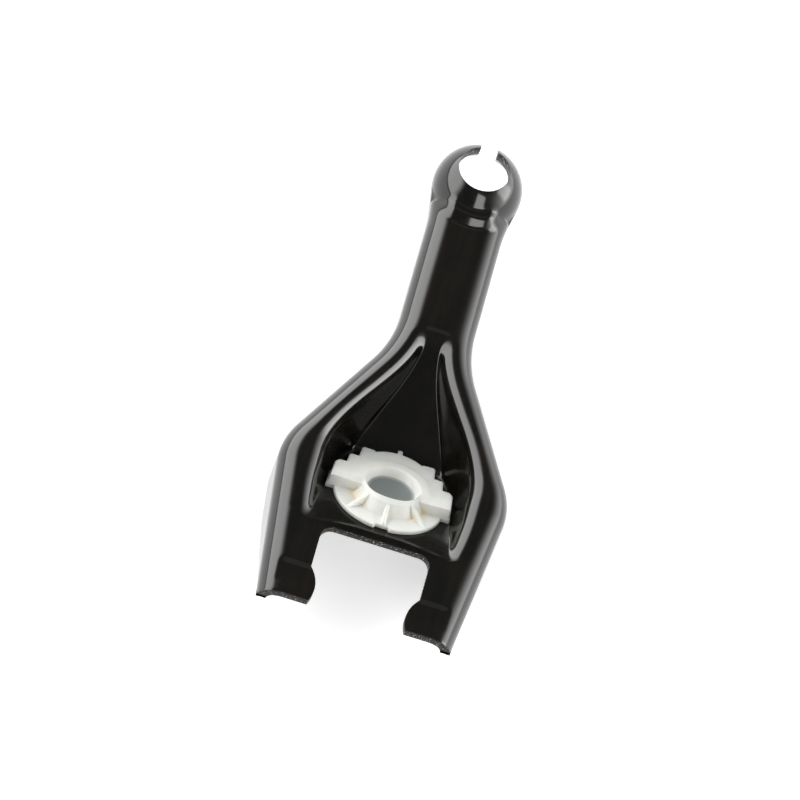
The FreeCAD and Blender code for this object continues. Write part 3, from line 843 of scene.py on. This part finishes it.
# %% [markdown]
# Two effects serve both finishes: the fine unevenness of a sprayed or moulded
# skin, and the rubbing that handling leaves on edges.  Each is a node group
# that is built once and placed in a material with that material's own numbers.

# %% Shared groups: skin grain and rubbed edges
def new_group(name, inputs, outputs):
    """Empty shader group with named number sockets."""
    group = bpy.data.node_groups.new(name, "ShaderNodeTree")
    for label, value in inputs:
        socket = group.interface.new_socket(name=label, in_out="INPUT", socket_type="NodeSocketFloat")
        socket.default_value = value
    for label in outputs:
        group.interface.new_socket(name=label, in_out="OUTPUT", socket_type="NodeSocketFloat")
    return group, group.nodes.new("NodeGroupInput"), group.nodes.new("NodeGroupOutput")


def noise(tree, place, scale, detail, stretch=(1.0, 1.0, 1.0)):
    """Noise on object coordinates; scale is a number or a socket."""
    turn = add(tree, "ShaderNodeMapping", Scale=stretch)
    tree.links.new(place, turn.inputs["Vector"])
    node = add(tree, "ShaderNodeTexNoise", Detail=detail)
    tree.links.new(turn.outputs[0], node.inputs["Vector"])
    if isinstance(scale, float):
        node.inputs["Scale"].default_value = scale
    else:
        tree.links.new(scale, node.inputs["Scale"])
    return node.outputs[0]


skin_numbers = [("Scale", 900.0), ("Streak", 0.3)]
skin, skin_in, skin_out = new_group("skin_grain", skin_numbers, ["Height", "Mottle"])
spot = add(skin, "ShaderNodeTexCoord").outputs["Object"]
ripple = noise(skin, spot, skin_in.outputs["Scale"], 2.0)
streak = noise(skin, spot, 420.0, 3.0, (1.0, 0.07, 1.0))
patch = noise(skin, spot, 55.0, 4.0)
skin.links.new(maths(skin, "ADD", ripple, maths(skin, "MULTIPLY", streak, skin_in.outputs["Streak"])),
               skin_out.inputs["Height"])
skin.links.new(maths(skin, "MULTIPLY", maths(skin, "ADD", patch, streak), 0.5), skin_out.inputs["Mottle"])

rub_numbers = [("Start", 0.515), ("Amount", 1.0)]
rubbed, rub_in, rub_out = new_group("rubbed_edges", rub_numbers, ["Mask"])
bend = add(rubbed, "ShaderNodeNewGeometry").outputs["Pointiness"]
raised = maths(rubbed, "MULTIPLY", maths(rubbed, "SUBTRACT", bend, rub_in.outputs["Start"]), 22.0)
spot = add(rubbed, "ShaderNodeTexCoord").outputs["Object"]
broken = step_up(rubbed, noise(rubbed, spot, 330.0, 4.0), 0.42, 0.62)
mask = maths(rubbed, "MULTIPLY", maths(rubbed, "MULTIPLY", raised, broken), rub_in.outputs["Amount"])
clamped = add(rubbed, "ShaderNodeClamp")
rubbed.links.new(mask, clamped.inputs["Value"])
rubbed.links.new(clamped.outputs[0], rub_out.inputs["Mask"])
print("groups", [g.name for g in bpy.data.node_groups])


def place_group(tree, group, **values):
    """Put a shared group into a material with its own values."""
    node = tree.nodes.new("ShaderNodeGroup")
    node.node_tree = group
    for key, value in values.items():
        node.inputs[key].default_value = value
    return node


def blend_colours(tree, factor, first, second):
    """Mix two colours, each a socket or three numbers."""
    node = add(tree, "ShaderNodeMix", data_type="RGBA")
    tree.links.new(factor, node.inputs[0])
    for socket, value in ((node.inputs[6], first), (node.inputs[7], second)):
        if isinstance(value, tuple):
            socket.default_value = (*value, 1.0)
        else:
            tree.links.new(value, socket)
    return node.outputs[2]


# %% [markdown]
# The steel is dipped in black paint that dries to a deep gloss.  A gloss paint
# is a nearly black base under a clear coat.  It is not quite even: there is
# faint orange peel, the drawing die's streaks show through on the flanks, and
# the sheared edges are rougher, with bright specks where the film is thin.

# %% Black paint
material, tree, out = node_material("black_paint")
paint = tree.nodes.new("ShaderNodeBsdfPrincipled")
paint.inputs["IOR"].default_value = 1.25
paint.inputs["Coat IOR"].default_value = 1.6
paint.inputs["Coat Roughness"].default_value = 0.07
grain = place_group(tree, skin, Scale=820.0, Streak=0.5)
wear = place_group(tree, rubbed, Start=0.52, Amount=0.8)
cut = add(tree, "ShaderNodeAttribute", attribute_name="cut_face").outputs["Fac"]
spot = add(tree, "ShaderNodeTexCoord").outputs["Object"]
specks = step_up(tree, noise(tree, spot, 1500.0, 2.0), 0.60, 0.70)
specks = maths(tree, "MULTIPLY", specks, cut)
tint = step_up(tree, grain.outputs["Mottle"], 0.40, 0.62)
colour = blend_colours(tree, tint, (0.0036, 0.0037, 0.0029), (0.0082, 0.0064, 0.0046))
colour = blend_colours(tree, wear.outputs["Mask"], colour, (0.040, 0.026, 0.016))
colour = blend_colours(tree, specks, colour, (0.45, 0.44, 0.42))
tree.links.new(colour, paint.inputs["Base Color"])
rough = maths(tree, "ADD", maths(tree, "MULTIPLY", grain.outputs["Mottle"], 0.16), 0.13)
rough = maths(tree, "ADD", rough, maths(tree, "MULTIPLY", cut, 0.22))
rough = maths(tree, "ADD", rough, maths(tree, "MULTIPLY", wear.outputs["Mask"], 0.15))
tree.links.new(rough, paint.inputs["Roughness"])
satin = add(tree, "ShaderNodeAttribute", attribute_name="satin_seat").outputs["Fac"]
dull = maths(tree, "MAXIMUM", maths(tree, "MULTIPLY", cut, 0.8), maths(tree, "MULTIPLY", satin, 0.9))
coat = maths(tree, "SUBTRACT", 1.0, dull)
tree.links.new(coat, paint.inputs["Coat Weight"])
tree.links.new(maths(tree, "MULTIPLY", specks, 0.8), paint.inputs["Metallic"])
bump = add(tree, "ShaderNodeBump", Strength=0.055, Distance=0.0004)
torn = maths(tree, "MULTIPLY", maths(tree, "MULTIPLY", noise(tree, spot, 1300.0, 3.0), cut), 5.0)
tree.links.new(maths(tree, "ADD", grain.outputs["Height"], torn), bump.inputs["Height"])
tree.links.new(bump.outputs[0], paint.inputs["Normal"])
tree.links.new(paint.outputs[0], out.inputs["Surface"])
fork.data.materials.append(material)
print("paint nodes", len(tree.nodes))

# %% [markdown]
# Natural nylon lets light in, so its shadows are soft and warm in the corners,
# and where a wall is thin the dark behind it shows as a cool grey.  The cup's
# floor is such a wall.  Subsurface scattering softens the shadows, and masks
# stored on the mesh paint shade into the colour: a dark cool grey on the cup's
# thin floor and a warm, darker tint in the deep corners.

# %% White nylon
material, tree, out = node_material("white_nylon")
nylon = tree.nodes.new("ShaderNodeBsdfPrincipled")
nylon.inputs["Subsurface Weight"].default_value = 0.35
nylon.inputs["Subsurface Radius"].default_value = (1.0, 0.85, 0.65)
nylon.inputs["Subsurface Scale"].default_value = 0.0022
nylon.inputs["IOR"].default_value = 1.5
grain = place_group(tree, skin, Scale=520.0, Streak=0.1)
wear = place_group(tree, rubbed, Start=0.53, Amount=0.4)
painted_floor_shade = add(tree, "ShaderNodeAttribute", attribute_name="painted_floor_shade").outputs["Fac"]
corner_shade = add(tree, "ShaderNodeAttribute", attribute_name="painted_corner_shade").outputs["Fac"]
colour = blend_colours(tree, step_up(tree, grain.outputs["Mottle"], 0.35, 0.65),
                       (0.84, 0.85, 0.80), (0.79, 0.80, 0.755))
colour = blend_colours(tree, wear.outputs["Mask"], colour, (0.92, 0.92, 0.88))
# Painted shade: the warm tint in the corners.
colour = blend_colours(tree, maths(tree, "MULTIPLY", corner_shade, 0.8), colour, (0.88, 0.76, 0.56))
# Painted shade: a dark cool grey on the cup's floor.
colour = blend_colours(tree, maths(tree, "MULTIPLY", painted_floor_shade, 0.93), colour, (0.165, 0.188, 0.185))
tree.links.new(colour, nylon.inputs["Base Color"])
rough = maths(tree, "ADD", maths(tree, "MULTIPLY", grain.outputs["Mottle"], 0.2), 0.28)
tree.links.new(rough, nylon.inputs["Roughness"])
bump = add(tree, "ShaderNodeBump", Strength=0.12, Distance=0.0004)
tree.links.new(grain.outputs["Height"], bump.inputs["Height"])
tree.links.new(bump.outputs[0], nylon.inputs["Normal"])
tree.links.new(nylon.outputs[0], out.inputs["Surface"])
bush.data.materials.append(material)
print("nylon nodes", len(tree.nodes))

# %% [markdown]
# Both pieces ride on the root body, attached where they were made, and the
# last line prints their names.

# %% The pieces that are shown
print("pieces", fork.name, bush.name)
